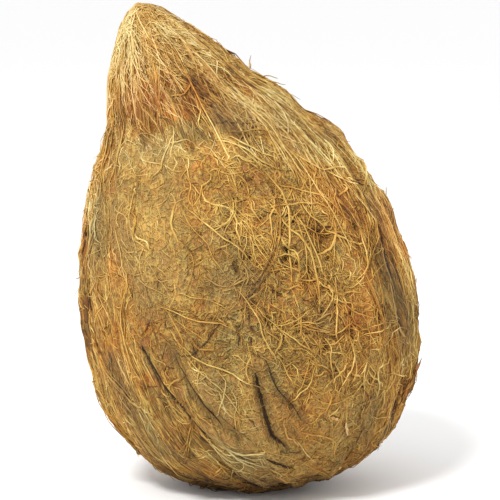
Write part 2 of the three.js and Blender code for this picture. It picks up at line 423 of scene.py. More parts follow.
def toning(turn, height):
    """From 0 for dark coir to 1 for pale: darker by painted shade over the collar's edge, in the splits and
    next to the ground, and paler under the collar."""
    combed = combing(turn, height)
    odd = 0.5 * (spots(turn, height, TONE_SPOT, 9) - 0.5)
    odd = odd + combed * (0.6 * streaks(turn, height, 20) + 0.45 * streaks(turn, height, 44, 14))
    over = height - collar_edge(turn)
    # painted shade in a thin band over the collar's edge, under the tuft's fringe, and paler felt below it
    collar = sum(added * bell((over - middle) / spread) for added, middle, spread in COLLAR_SHADE_AND_TONES)
    collar = collar * collar_share(turn)
    # painted shade in the splits
    painted_split_shade = SPLIT_GREY_AND_SHADE * np.minimum(split_depth(turn, height, outline(height)), 1)
    marked = patches(turn, height, TONE_AND_LIGHT_PATCHES) + band(turn, height, 0)
    # painted shade next to the ground, darkest where the coat meets the floor
    sideways = outline(height) * np.cos(np.radians(turn)) * math.sin(math.radians(LEAN))
    off_ground = POLE_Z + height * math.cos(math.radians(LEAN)) + sideways
    ground_shade = GROUND_SHADE_DROP * bell(np.maximum(off_ground, 0) / GROUND_SHADE_HEIGHT)
    return np.clip(MIDDLE_TONE + odd + marked + collar - painted_split_shade - ground_shade, 0, 1)


def pit_depth(turn, height, radius):
    """Small pits wherever the coir is tangled, and the larger ones at their places."""
    depth = SMALL_PIT_DEPTH * smoothstep(spots(turn, height, SMALL_PIT, 4), 0.72, 0.9)
    depth = depth * (1 - felting(turn, height)) * (1 - 0.8 * combing(turn, height))
    for pit_turn, pit_height, half_width, half_length, most in PITS:
        across = np.radians(turn_gap(turn, pit_turn)) * radius / half_width
        depth = depth + most * bell(across) * bell((height - pit_height) / half_length)
    return depth


def relief(turn, height):
    """How far the coat stands out of its plain outline: bundles, collar, hollows, lumps and streaks."""
    radius = outline(height)
    rise = 0
    for count, most, phase, sway, sway_length in BUNDLE_WAVES:
        wave = count * np.radians(turn) + phase + sway * np.sin(height / sway_length + phase)
        rise = rise + most * np.cos(wave)
    fade = np.minimum(1, radius / BUNDLE_FADE_RADIUS)
    tufted = smoothstep(height, TUFT_ROOT, TUFT_ROOT + TUFT_BUNDLE_BLEND)
    rise = rise * fade * (1 + (TUFT_BUNDLE_RISE - 1) * tufted) + patches(turn, height, RISE_PATCHES)
    over = height - collar_edge(turn)
    step = smoothstep(over, *COLLAR_STEP) * (1 - smoothstep(over, *COLLAR_FADE))
    collar = COLLAR_LIP * collar_share(turn) * step
    hollows = split_depth(turn, height, radius) + pit_depth(turn, height, radius)
    combed = combing(turn, height)
    lumps = sum(share * (spots(turn, height, size) - 0.5) for size, share in LUMPS)
    fine = LUMP_RISE * lumps * (1 - 0.6 * combed) * (1 - 0.55 * felting(turn, height))
    fine = fine + patches(turn, height, ROUGH_PATCHES) * (spots(turn, height, ROUGH_SPOT, 11) - 0.5)
    fine = fine + combed * (0.9 * streaks(turn, height) + 0.7 * streaks(turn, height, 40, 12))
    return rise + collar - hollows + fine * fade - COAT_DROP


# The long axis, and the two directions square to it that the radius is measured in.
AXIS = np.array([-math.sin(math.radians(LEAN)), 0, math.cos(math.radians(LEAN))])
ACROSS = np.array([math.cos(math.radians(LEAN)), 0, math.sin(math.radians(LEAN))])
AWAY = np.array([0, 1, 0])
POLE = np.array([POLE_X, 0, POLE_Z])
SLOPE_STEP = 0.4  # half the length over which the outline's slope is measured


def coat_point(turn, height, above=0.0):
    """Points of the coat, raised off it by `above` along its normal."""
    angle = np.radians(turn)
    plain = outline(height)
    slope = (outline(height + SLOPE_STEP) - outline(height - SLOPE_STEP)) / (2 * SLOPE_STEP)
    tilt = np.hypot(1, slope)
    radius = np.maximum(plain * (1 + LOBE_SHARE * np.cos(3 * (angle - math.radians(LOBE_TURN)))), 0)
    raised = relief(turn, height) * np.minimum(1, plain / POLE_FADE_RADIUS) + above
    radius = np.maximum(radius + raised / tilt, 0)
    along = height - raised * slope / tilt
    shift = CROWN_SHIFT * bell((height - CROWN_HEIGHT) / CROWN_SPREAD)
    return (
        POLE
        + AXIS * along[..., None]
        + ACROSS * (shift + radius * np.cos(angle))[..., None]
        + AWAY * (radius * np.sin(angle))[..., None]
    )


# The plain outline in short steps, closest at the poles, and the length along it.
OUTLINE_POINTS = 4001
fine_heights = TOTAL_LENGTH * (1 - np.cos(np.linspace(0, math.pi, OUTLINE_POINTS))) / 2
fine_radii = outline(fine_heights)
fine_steps = np.hypot(np.diff(fine_heights), np.diff(fine_radii))
surface_lengths = np.concatenate([[0], np.cumsum(fine_steps)])

SKIN_COLUMNS = 414
SKIN_ROWS = 238
FRONT_TURN = -90
FRONT_CROWDING = 0.3  # how much closer the columns stand at the front than on average
WELD = 0.000001  # metres
GRAIN_RADIUS = 50
GRAIN_STRETCH = 9  # how many times longer than wide the streaks come out


def add_attribute(mesh, name, values):
    attribute = mesh.attributes.new(name, "FLOAT", "POINT")
    attribute.data.foreach_set("value", np.ascontiguousarray(values, dtype=np.float32))


def add_vector_attribute(mesh, name, values):
    attribute = mesh.attributes.new(name, "FLOAT_VECTOR", "POINT")
    attribute.data.foreach_set("vector", np.ascontiguousarray(values, dtype=np.float32).ravel())


def grid_places(mesh):
    """Where a grid's vertices stand on it, across and along, from 0 to 1."""
    places = np.empty(len(mesh.vertices) * 3)
    mesh.vertices.foreach_get("co", places)
    places = places.reshape(-1, 3) / 2 + 0.5
    return places[:, 0], places[:, 1]


def new_object(name, data):
    """An object of the scene that shows a mesh, or is a lamp or a camera."""
    made = bpy.data.objects.new(name, data)
    bpy.context.scene.collection.objects.link(made)
    return made


sheet = bmesh.new()
bmesh.ops.create_grid(sheet, x_segments=SKIN_COLUMNS, y_segments=SKIN_ROWS, size=1)
skin_mesh = bpy.data.meshes.new("husk_skin")
sheet.to_mesh(skin_mesh)
sheet.free()
skin_across, skin_along = grid_places(skin_mesh)
crowding = FRONT_CROWDING * np.sin(2 * math.pi * (skin_across - 0.5)) / (2 * math.pi)
skin_turn = FRONT_TURN + 360 * (skin_across - 0.5 - crowding)
skin_height = np.interp(skin_along * surface_lengths[-1], surface_lengths, fine_heights)
places = coat_point(skin_turn, skin_height)
places[:, 2] = np.maximum(places[:, 2], 0)
skin_mesh.vertices.foreach_set("co", (places * MM).ravel())


def add_colouring(mesh, turn, height, added_tone=0.0):
    """The grey, warmth and tone of the coir at each point, as its materials read them."""
    add_attribute(mesh, "grey", greying(turn, height).ravel())
    add_attribute(mesh, "warm", warming(turn, height).ravel())
    add_attribute(mesh, "tone", np.clip(toning(turn, height) + added_tone, 0, 1).ravel())


def grain(turn, height):
    """Coordinates in which the fibres' run is squeezed, so that round noise comes out as streaks."""
    angle = np.radians(turn)
    round_nut = [GRAIN_RADIUS * np.cos(angle), GRAIN_RADIUS * np.sin(angle)]
    return np.stack([*round_nut, height / GRAIN_STRETCH], -1)


skin_radius = outline(skin_height)
pits = pit_depth(skin_turn, skin_height, skin_radius) / DEEPEST_PIT
add_attribute(skin_mesh, "depth", np.clip(pits, 0, 1))
add_attribute(skin_mesh, "split_edge", split_edge(skin_turn, skin_height, skin_radius))
add_attribute(skin_mesh, "combed", combing(skin_turn, skin_height))
add_attribute(skin_mesh, "felted", felting(skin_turn, skin_height))
add_colouring(skin_mesh, skin_turn, skin_height)
add_vector_attribute(skin_mesh, "grain", grain(skin_turn, skin_height))
sheet = bmesh.new()
sheet.from_mesh(skin_mesh)
bmesh.ops.remove_doubles(sheet, verts=sheet.verts, dist=WELD)
bmesh.ops.recalc_face_normals(sheet, faces=sheet.faces)
sheet.to_mesh(skin_mesh)
sheet.free()
skin_mesh.polygons.foreach_set("use_smooth", [True] * len(skin_mesh.polygons))


def colour(*screen):
    """A colour given as it looks on a screen, in red, green and blue from 10 to 255, made linear."""
    return (*[((value / 255 + 0.055) / 1.055) ** 2.4 for value in screen], 1)


class Shader:
    """A material's node tree, with short ways to add nodes and link them."""

    def __init__(self, name, roughness, specular=0.25):
        self.material = bpy.data.materials.new(name)
        self.material.use_nodes = True
        self.tree = self.material.node_tree
        self.surface = self.tree.nodes["Principled BSDF"]
        self.surface.inputs["Roughness"].default_value = roughness
        self.surface.inputs["Specular IOR Level"].default_value = specular

    def node(self, kind, inputs=(), **settings):
        made = self.tree.nodes.new(kind)
        for key, value in settings.items():
            setattr(made, key, value)
        for key, value in dict(inputs).items():
            self.put(value, made.inputs[key])
        return made

    def put(self, value, socket):
        if isinstance(value, bpy.types.NodeSocket):
            self.tree.links.new(value, socket)
        else:
            socket.default_value = value

    def attribute(self, name, output="Fac"):
        return self.node("ShaderNodeAttribute", attribute_name=name).outputs[output]

    def object_place(self):
        return self.node("ShaderNodeTexCoord").outputs["Object"]

    def noise(self, vector, scale, detail=4.0, roughness=0.6, output="Fac"):
        inputs = {"Vector": vector, "Scale": scale, "Detail": detail, "Roughness": roughness}
        return self.node("ShaderNodeTexNoise", inputs).outputs[output]

    def vector_math(self, operation, first, second):
        key = "Scale" if operation == "SCALE" else 1
        return self.node("ShaderNodeVectorMath", {0: first, key: second}, operation=operation).outputs[0]

    def warped(self, vector, scale, amount):
        """The vector, pushed about by up to `amount`, so that straight edges come out curved."""
        swirl = self.noise(vector, scale, 2.0, output="Color")
        centred = self.vector_math("SUBTRACT", swirl, (0.5, 0.5, 0.5))
        return self.vector_math("ADD", vector, self.vector_math("SCALE", centred, amount))

    def net(self, vector, scale, width):
        """Lines that meet in forks, as matted fibres do: 1 on a line, 0 between lines."""
        inputs = {"Vector": vector, "Scale": scale}
        gap = self.node("ShaderNodeTexVoronoi", inputs, feature="DISTANCE_TO_EDGE").outputs[0]
        return self.fade(gap, width, 0.0)

    def worms(self, vector, scale, width, lean):
        """Lines that wriggle over the surface, and the shadow that each casts against `lean`."""
        found = []
        for place in (vector, self.vector_math("ADD", vector, lean)):
            level = self.noise(self.warped(place, scale * 0.6, 0.5 / scale), scale, 1.0, 0.5)
            off_line = self.math("ABSOLUTE", self.math("SUBTRACT", level, 0.5))
            found.append(self.fade(off_line, width, 0.0))
        return found[0], self.math("SUBTRACT", found[1], found[0])

    def either(self, first, second):
        """The stronger of two layers, with the second laid on more weakly."""
        return self.math("MAXIMUM", first, self.math("MULTIPLY", second, SECOND_LAYER))

    def blend(self, share, first, second):
        return self.node("ShaderNodeMix", {0: share, 2: first, 3: second}).outputs[0]

    def fade(self, value, low, high):
        inputs = {"Value": value, "From Min": low, "From Max": high}
        return self.node("ShaderNodeMapRange", inputs, interpolation_type="SMOOTHSTEP").outputs[0]

    def ramp(self, value, *stops):
        """Colours between stops, each a position and a colour as it looks on a screen."""
        made = self.node("ShaderNodeValToRGB", {"Fac": value})
        elements = made.color_ramp.elements
        while len(elements) < len(stops):
            elements.new(1)
        for element, (position, *screen) in zip(elements, stops):
            element.position = position
            element.color = colour(*screen)
        return made.outputs["Color"]

    def mix(self, share, first, second, blend="MIX"):
        made = self.node("ShaderNodeMix", data_type="RGBA", blend_type=blend)
        for value, socket in ((share, 0), (first, 6), (second, 7)):
            self.put(value, made.inputs[socket])
        return made.outputs[2]

    def stain(self, shade, share, most, *screen):
        """The shade, taken towards a colour of the screen by up to `most` where `share` is 1."""
        return self.mix(self.math("MULTIPLY", share, most), shade, colour(*screen))

    def math(self, operation, first, second=0.0, third=0.0):
        return self.node("ShaderNodeMath", {0: first, 1: second, 2: third}, operation=operation).outputs[0]

    def colour_from(self, shade):
        self.put(shade, self.surface.inputs["Base Color"])

    def bump(self, height, distance):
        inputs = {"Height": height, "Distance": distance}
        self.put(self.node("ShaderNodeBump", inputs).outputs["Normal"], self.surface.inputs["Normal"])


SECOND_LAYER = 0.6
SHADOW_LEAN = (-0.0002, 0.0, 0.00025)  # metres from a shadow to what casts it
GRAIN_SHADOW_LEAN = (-0.3, 0.0, 0.0)  # the same, in the coordinates of the grain


def husk_ground(shader, hue, combed):
    """What shows between fibres: mottled, olive to orange, paler where felted, russet where combed."""
    ground = shader.ramp(
        hue,
        (0.1, 124, 104, 62),
        (0.35, 146, 112, 60),
        (0.55, 156, 107, 54),
        (0.75, 158, 96, 46),
        (0.95, 152, 80, 38),
    )
    pinkish = shader.fade(shader.noise(shader.object_place(), 110, 2), 0.52, 0.7)
    ground = shader.stain(ground, pinkish, 0.55, 152, 103, 68)
    ground = shader.stain(ground, shader.attribute("felted"), 0.55, 178, 139, 78)
    russet = shader.fade(shader.attribute("warm"), 0.35, 1.2)
    return shader.stain(ground, combed, russet, 174, 100, 46)


def husk_lines(shader, here, run, combed):
    """Fine fibres drawn on the skin and their shadows: a net of wriggling ones, straight where combed."""
    cells = shader.net(shader.warped(here, 190, 0.006), 230, 0.07)
    thick, thick_shadow = shader.worms(here, 250, 0.05, SHADOW_LEAN)
    thin, thin_shadow = shader.worms(here, 600, 0.06, SHADOW_LEAN)
    long, long_shadow = shader.worms(run, 0.42, 0.05, GRAIN_SHADOW_LEAN)
    fine, fine_shadow = shader.worms(run, 0.9, 0.06, GRAIN_SHADOW_LEAN)
    tangled = shader.math("MAXIMUM", cells, shader.either(thick, thin))
    lines = shader.blend(combed, tangled, shader.either(long, fine))
    tangled_shadow = shader.either(thick_shadow, thin_shadow)
    return lines, shader.blend(combed, tangled_shadow, shader.either(long_shadow, fine_shadow))


def hollow_shade_share(shader, texture):
    """How far a place gets painted shade for lying in a pit or in a split's gape, with ragged edges."""
    depth = shader.math("ADD", shader.attribute("depth"), 0.6)
    pit = shader.fade(shader.math("MULTIPLY_ADD", texture, -1.2, depth), 0.2, 0.85)
    pit = shader.math("MULTIPLY", pit, 0.8)
    off_gape = shader.math("ADD", shader.attribute("split_edge"), -0.8)
    gap = shader.fade(shader.math("MULTIPLY_ADD", texture, 1.6, off_gape), 0.3, -0.1)
    gap = shader.math("MULTIPLY", gap, 0.9)
    return shader.math("MAXIMUM", pit, gap)


def husk_material():
    """Matted coir: a mottled ground, pale fibres with their shadows, grey patches, painted shade in
    hollows.
    """
    shader = Shader("matted_coir", 0.9, 0.15)
    here = shader.object_place()
    run = shader.warped(shader.attribute("grain", "Vector"), 0.3, 1.6)
    combed, tone = shader.attribute("combed"), shader.attribute("tone")
    speckle = shader.math("MULTIPLY_ADD", shader.noise(here, 330, 3, 0.6), 1.3, -0.4)
    hue = shader.math("MULTIPLY_ADD", shader.attribute("warm"), 0.5, speckle)
    strand = shader.ramp(
        hue, (0.1, 190, 168, 98), (0.4, 203, 170, 90), (0.65, 206, 162, 78), (0.9, 200, 142, 64)
    )
    strand = shader.vector_math("SCALE", strand, shader.math("MULTIPLY_ADD", tone, 0.6, 0.7))
    lines, shadows = husk_lines(shader, here, run, combed)
    texture = shader.blend(combed, shader.noise(here, 950, 4, 0.7), shader.noise(run, 2.2, 4, 0.7))
    strength = shader.math("MAXIMUM", shader.math("MULTIPLY_ADD", texture, 3.6, -0.8), 0.25)
    strength = shader.math("MULTIPLY", strength, shader.math("MULTIPLY_ADD", tone, 0.7, 0.6))
    shade = shader.vector_math("SCALE", husk_ground(shader, hue, combed), strength)
    shade = shader.mix(shader.math("MULTIPLY", lines, 0.8), shade, strand)
    shade = shader.stain(shade, shadows, 0.85, 76, 42, 16)
    shade = shader.stain(shade, shader.attribute("grey"), 0.5, 112, 96, 64)
    # painted shade: pits and the gapes of splits are darkened to near-black brown
    shader.colour_from(shader.stain(shade, hollow_shade_share(shader, texture), 1.0, 45, 29, 14))
    shader.bump(shader.math("MULTIPLY_ADD", lines, 0.6, texture), 0.001)
    return shader.material


husk_skin = new_object("husk_skin", skin_mesh)
skin_mesh.materials.append(husk_material())
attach(husk_skin, "root")
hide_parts("coconut")

# ---- Felted fibres ----
# Short fine coir rubbed flat against the nut, which makes its smooth tan patches and fills between the
# longer fibres everywhere else. Each fibre is a tapered three-sided tube with closed ends.
FIBRE_SIDES = 3
FIBRE_TAPER = 0.5  # share of its thickness that a fibre loses at its ends
END_SHADE = 0.35  # how much darker a fibre is where it sinks into the mat
DARK_SHARE = 0.09  # of all fibres, which are darker than the rest by DARK_DROP
DARK_DROP = 0.36
LOWEST_HEIGHT = 0.6  # fibres keep this far from the base pole
TIP_CLEARANCE = 0.2  # and this far from the tip
LEAST_RADIUS = 5  # of the circle on which fibres turn, so that they don't spin round a pole
HALF_MILLIMETRE = 0.5  # either side of a height, between which the outline's rise is its slope
SPLIT_CLEARANCE = 1.2  # few fibres start this near the gape of a split
SPLIT_DIVE = 0.9  # how far fibres drop where they meet a split
DIVE_DEPTHS = (0.7, 1.2)  # depths of a split between which they come to drop that far
FLOW_ODD = 0.7  # radians by which the flow varies from place to place
FLOW_COUNT = 2.2  # how fast it varies round the nut
FLOW_LENGTH = 24  # and along it
FLOW_SLANT = 0.34  # radians by which fibres on the front slant as they run down
FLOW_TURN = -88
FLOW_SPREAD = 50
FELT_COUNT = 4000
FELT_STEPS = 4
FELT_LENGTH = (2, 6)
FELT_RADIUS = (0.1, 0.2)
FELT_FADE = 0.14  # how much darker short fibres are off the felted patches


def fibre_material(name, lift=0.0, bleach=0.15, roughness=0.65, age=0.5):
    """Coir fibre, `lift` paler than the rest, washed out by `bleach` and greyed by up to `age`."""
    shader = Shader(name, roughness)
    here = shader.object_place()
    uneven = shader.math("MULTIPLY_ADD", shader.noise(here, 500, 3), 0.9, -0.45 + lift)
    shade = shader.ramp(
        shader.math("ADD", shader.attribute("tone"), uneven),
        (0.0, 56, 37, 22),
        (0.25, 144, 102, 52),
        (0.5, 184, 144, 80),
        (0.75, 208, 176, 114),
        (1.0, 232, 214, 168),
    )
    tint = shader.ramp(
        shader.attribute("warm"),
        (0.1, 240, 240, 204),
        (0.4, 250, 242, 194),
        (0.65, 255, 234, 174),
        (0.95, 255, 206, 132),
    )
    shade = shader.mix(1 - bleach, shade, tint, "MULTIPLY")
    shader.colour_from(shader.stain(shade, shader.attribute("grey"), age, 136, 120, 86))
    shader.bump(shader.noise(here, 2600, 2), 0.00008)
    return shader.material


def start_places(count, weight=None, low=0.0, high=TOTAL_LENGTH, facing=None):
    """Turns and heights spread evenly over the coat between two heights, thinned where `weight` is low, and
    on the half of it that faces the turn `facing`, or all round."""
    areas = np.concatenate([[0], np.cumsum(fine_steps * (fine_radii[1:] + fine_radii[:-1]) / 2)])
    first, last = np.interp([low, high], fine_heights, areas)
    turns, heights = np.empty(0), np.empty(0)
    while len(turns) < count:
        turn = rng.uniform(-180, 180, 4 * count)
        height = np.interp(rng.uniform(first, last, 4 * count), areas, fine_heights)
        chance = smoothstep(split_edge(turn, height, outline(height)), 0, SPLIT_CLEARANCE)
        if weight:
            chance = chance * weight(turn, height)
        if facing is not None:
            chance = chance * (abs(turn_gap(turn, facing)) < 90)
        kept = rng.random(4 * count) < chance
        turns, heights = np.append(turns, turn[kept]), np.append(heights, height[kept])
    return turns[:count], heights[:count]


def flow(turn, height):
    """The heading, in radians from straight down the nut, that neighbouring fibres share."""
    angle = np.radians(turn)
    odd = noise(FLOW_COUNT * np.cos(angle) + 9, FLOW_COUNT * np.sin(angle), height / FLOW_LENGTH) - 0.5
    return FLOW_ODD * odd + FLOW_SLANT * bell(turn_gap(turn, FLOW_TURN) / FLOW_SPREAD)


def walk(turn, height, heading, length, steps, bend=0.0, wander=0.0, pull=0.0, kink=0.0):
    """Turns and heights along fibres that creep over the coat. `bend` turns them steadily, `wander` changes
    that bend, `kink` jogs them, and `pull` draws them back to the shared flow."""
    step = length / steps
    turns, heights = [turn], [height]
    kinks = rng.normal(0, 1, (steps, len(turn))) * kink
    for jog in kinks:
        slope = outline(height + HALF_MILLIMETRE) - outline(height - HALF_MILLIMETRE)
        height = height - step * np.cos(heading) / np.hypot(1, slope)
        height = np.clip(height, LOWEST_HEIGHT, TOTAL_LENGTH - TIP_CLEARANCE)
        turn = turn + np.degrees(step * np.sin(heading) / np.maximum(outline(height), LEAST_RADIUS))
        bend = bend + rng.normal(0, 1, len(turn)) * wander
        heading = heading + bend * step + pull * (flow(turn, height) - heading) + jog
        turns.append(turn)
        heights.append(height)
    return np.stack(turns, 1), np.stack(heights, 1)


def between(low, high, count):
    return rng.uniform(low, high, count)


def thin_mostly(low, high, count):
    """Values between two ends, most of them near the low one."""
    return low + (high - low) * rng.random(count) ** 2


def shades(mean, spread, count):
    """Tones that spread about a mean, with some fibres much darker than the rest."""
    return rng.normal(mean, spread, count) - DARK_DROP * (rng.random(count) < DARK_SHARE)


def drift(steps, count):
    """Values from 0 to 1 that wander smoothly along each fibre."""
    knots = steps // 3 + 2
    drawn = rng.random((count, knots))
    place = np.linspace(0, knots - 1, steps + 1)
    cell = np.minimum(place.astype(int), knots - 2)
    share = smoothstep(place - cell, 0, 1)
    return drawn[:, cell] * (1 - share) + drawn[:, cell + 1] * share


def weave(turns, low, high, sink=0.3):
    """Rises off the coat of fibres that run in and out of it, from `low` up to a height that is drawn
    between the two of `high`, with ends that lie `sink` deep."""
    count, points = turns.shape
    highest = between(*high, count)[:, None]
    ends = np.sin(math.pi * np.linspace(0, 1, points)) ** 0.35
    return -sink + (low + (highest - low) * drift(points - 1, count) + sink) * ends


def dive(turns, heights):
    """How much deeper fibres run where they meet a split, so that it stays open."""
    return SPLIT_DIVE * smoothstep(split_depth(turns, heights, outline(heights)), *DIVE_DEPTHS)


def tube_nodes():
    """A node group that sweeps a round section along every line of a mesh, as thick as its `thickness`."""
    group = bpy.data.node_groups.new("fibre_tube", "GeometryNodeTree")
    group.interface.new_socket("Geometry", in_out="INPUT", socket_type="NodeSocketGeometry")
    group.interface.new_socket("Geometry", in_out="OUTPUT", socket_type="NodeSocketGeometry")
    kinds = ["NodeGroupInput", "GeometryNodeMeshToCurve", "GeometryNodeCurveToMesh", "NodeGroupOutput"]
    lines, curves, tubes, result = [group.nodes.new(kind) for kind in kinds]
    section = group.nodes.new("GeometryNodeCurvePrimitiveCircle")
    section.inputs["Resolution"].default_value = FIBRE_SIDES
    section.inputs["Radius"].default_value = 1
    thickness = group.nodes.new("GeometryNodeInputNamedAttribute")
    thickness.data_type = "FLOAT"
    thickness.inputs["Name"].default_value = "thickness"
    tubes.inputs["Fill Caps"].default_value = True
    group.links.new(lines.outputs[0], curves.inputs["Mesh"])
    group.links.new(curves.outputs[0], tubes.inputs["Curve"])
    group.links.new(section.outputs[0], tubes.inputs["Profile Curve"])
    group.links.new(thickness.outputs["Attribute"], tubes.inputs["Scale"])
    group.links.new(tubes.outputs[0], result.inputs[0])
    return group


fibre_tube = tube_nodes()


def fibre_lines(name, points, radii):
    """A mesh of bare lines, one through each row of points, which carries a radius for each point."""
    count, length = radii.shape
    order = np.arange(count * length).reshape(count, length)
    edges = np.stack([order[:, :-1].ravel(), order[:, 1:].ravel()], -1)
    lines = bpy.data.meshes.new(name)
    lines.from_pydata((points * MM).reshape(-1, 3), edges, [])
    add_attribute(lines, "thickness", radii.ravel() * MM)
    return lines


def lay_fibres(name, turns, heights, above, radius, tone, material):
    """One piece of fibres: a row of turns, heights and rises off the coat for each fibre. The radius is one
    number a fibre, and so is the tone, which is added to that of the coat there."""
    middle = np.sin(math.pi * np.linspace(0, 1, turns.shape[1]))
    radii = radius[:, None] * (1 - FIBRE_TAPER + FIBRE_TAPER * middle**0.6)
    points = coat_point(turns, heights, above)
    points[..., 2] = np.maximum(points[..., 2], radii)
    lines = fibre_lines(name + "_lines", points, radii)
    add_colouring(lines, turns, heights, tone[:, None] - END_SHADE * (1 - middle**0.5))
    piece = new_object(name, lines)
    piece.modifiers.new("tube", "NODES").node_group = fibre_tube
    mesh = bpy.data.meshes.new_from_object(piece.evaluated_get(bpy.context.evaluated_depsgraph_get()))
    piece.modifiers.clear()
    piece.data = mesh
    bpy.data.meshes.remove(lines)
    mesh.name = name
    mesh.materials.append(material)
    mesh.attributes.remove(mesh.attributes["sharp_edge"])
    mesh.polygons.foreach_set("use_smooth", [True] * len(mesh.polygons))
    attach(piece, "root")


def lay_woven(name, turns, heights, rise, radius, tone, material, dives=False):
    """A piece of fibres that run in and out of the coat, and drop into the splits if `dives`. The rise, the
    radius and the tone are given by what `weave`, `thin_mostly` and `shades` draw them from."""
    above = weave(turns, *rise) - dives * dive(turns, heights)
    radii, tones = thin_mostly(*radius, len(turns)), shades(*tone, len(turns))
    lay_fibres(name, turns, heights, above, radii, tones, material)


def felt_weight(turn, height):
    return 0.22 + 0.78 * felting(turn, height)


felt_turn, felt_height = start_places(FELT_COUNT, felt_weight, low=1, high=128)
turns, heights = walk(
    felt_turn,
    felt_height,
    flow(felt_turn, felt_height) + rng.normal(0, 1.0, FELT_COUNT),
    between(*FELT_LENGTH, FELT_COUNT),
    FELT_STEPS,
    kink=0.4,
)
lay_fibres(
    "felted_fibres",
    turns,
    heights,
    weave(turns, -0.15, (0.1, 0.35), sink=0.2) - dive(turns, heights),
    thin_mostly(*FELT_RADIUS, FELT_COUNT),
    shades(0.0, 0.12, FELT_COUNT) - FELT_FADE * (1 - felting(felt_turn, felt_height)),
    fibre_material("felted_coir"),
)

# ---- Tangled fibres ----
# Kinked golden coir that works its way down over the nut, thickest on its front and back, with the finer
# fibres that fork off it. There are two pieces of each, for the front half and the back half.
TANGLE_COUNT = 1250
TANGLE_STEPS = 12
TANGLE_LENGTH = (5, 30)
TANGLE_RISE = (-0.3, (0.3, 0.95))
TANGLE_RADIUS = (0.12, 0.36)
TANGLE_TONE = (0.05, 0.11)
TANGLE_LIFT = 8  # how much higher than its place the longest fibre starts
CLUMP = 9  # size of the clumps that tangled fibres lie in
FORK_COUNT = 1000
FORK_STEPS = 6
FORK_LENGTH = (2.5, 8)
FORK_RISE = (-0.2, (0.2, 0.8))
FORK_RADIUS = (0.11, 0.25)
FORK_TONE = (0.03, 0.12)
FORK_SLANT = (0.4, 1.1)  # radians from the fibre that it leaves
loose_material = fibre_material("loose_coir")


def tangled_weight(turn, height):
    loose = (1 - 0.85 * combing(turn, height)) * (1 - 0.93 * felting(turn, height))
    in_clumps = 0.35 + 0.65 * smoothstep(spots(turn, height, CLUMP, 3), 0.35, 0.6)
    return 0.02 + loose * in_clumps


def forks(turns, heights, count, slant):
    """Turn, height and heading of fibres that leave others, each at a slant from somewhere along it."""
    parent = rng.integers(0, len(turns), count)
    place = rng.integers(1, turns.shape[1] - 2, count)
    turn, height = turns[parent, place], heights[parent, place]
    sideways = np.radians(turns[parent, place + 1] - turn) * outline(height)
    heading = np.arctan2(sideways, height - heights[parent, place + 1])
    return turn, height, heading + rng.choice([-1, 1], count) * between(*slant, count)


for side, facing in (("front", -90), ("back", 90)):
    turn, height = start_places(TANGLE_COUNT, tangled_weight, low=6, high=124, facing=facing)
    reach = rng.random(TANGLE_COUNT) ** 1.8
    turns, heights = walk(
        turn,
        height + TANGLE_LIFT * reach,
        flow(turn, height) + rng.normal(0, 1, TANGLE_COUNT) * (1.05 - 0.8 * reach),
        TANGLE_LENGTH[0] + (TANGLE_LENGTH[1] - TANGLE_LENGTH[0]) * reach,
        TANGLE_STEPS,
        bend=rng.normal(0, 0.02, TANGLE_COUNT) * (1 - reach),
        wander=0.01,
        pull=0.12,
        kink=0.38,
    )
    name = f"tangled_fibres_{side}"
    lay_woven(name, turns, heights, TANGLE_RISE, TANGLE_RADIUS, TANGLE_TONE, loose_material, dives=True)
    turn, height, heading = forks(turns, heights, FORK_COUNT, FORK_SLANT)
    turns, heights = walk(turn, height, heading, between(*FORK_LENGTH, FORK_COUNT), FORK_STEPS, kink=0.3)
    lay_woven(f"forked_fibres_{side}", turns, heights, FORK_RISE, FORK_RADIUS, FORK_TONE, loose_material)

# ---- Combed fibres ----
# Coir that still lies the way it grew, in bundles along the nut: thickest on its two sides. There are two
# pieces, for the half that faces left and the half that faces right.
COMBED_COUNT = 1350
COMBED_STEPS = 12
COMBED_LENGTH = (12, 44)
COMBED_RISE = (-0.3, (0.1, 0.6))
COMBED_RADIUS = (0.08, 0.23)
COMBED_TONE = (0.03, 0.15)
COMBED_LIFT = 10  # how much higher than its place each starts
BELOW_COLLAR = 108  # none start above this where the collar is
CUT_SHARE = 0.45  # share of the full collar from which the tuft is cut short there
combed_material = fibre_material("combed_coir")


def cut_at_collar(turn):
    """Whether the tuft's fibres are cut short at the collar on this turn."""
    return collar_share(turn) > CUT_SHARE


def combed_weight(turn, height):
    covered = (height > BELOW_COLLAR) & cut_at_collar(turn)
    return ~covered * combing(turn, height) ** 1.3 * (1 - 0.85 * felting(turn, height))


for side, facing in (("left", -180), ("right", 0)):
    turn, height = start_places(COMBED_COUNT, combed_weight, low=4, high=134, facing=facing)
    turns, heights = walk(
        turn,
        height + COMBED_LIFT,
        flow(turn, height) + rng.normal(0, 0.16, COMBED_COUNT),
        between(*COMBED_LENGTH, COMBED_COUNT),
        COMBED_STEPS,
        wander=0.003,
        pull=0.1,
        kink=0.07,
    )
    name = f"combed_fibres_{side}"
    lay_woven(name, turns, heights, COMBED_RISE, COMBED_RADIUS, COMBED_TONE, combed_material, dives=True)

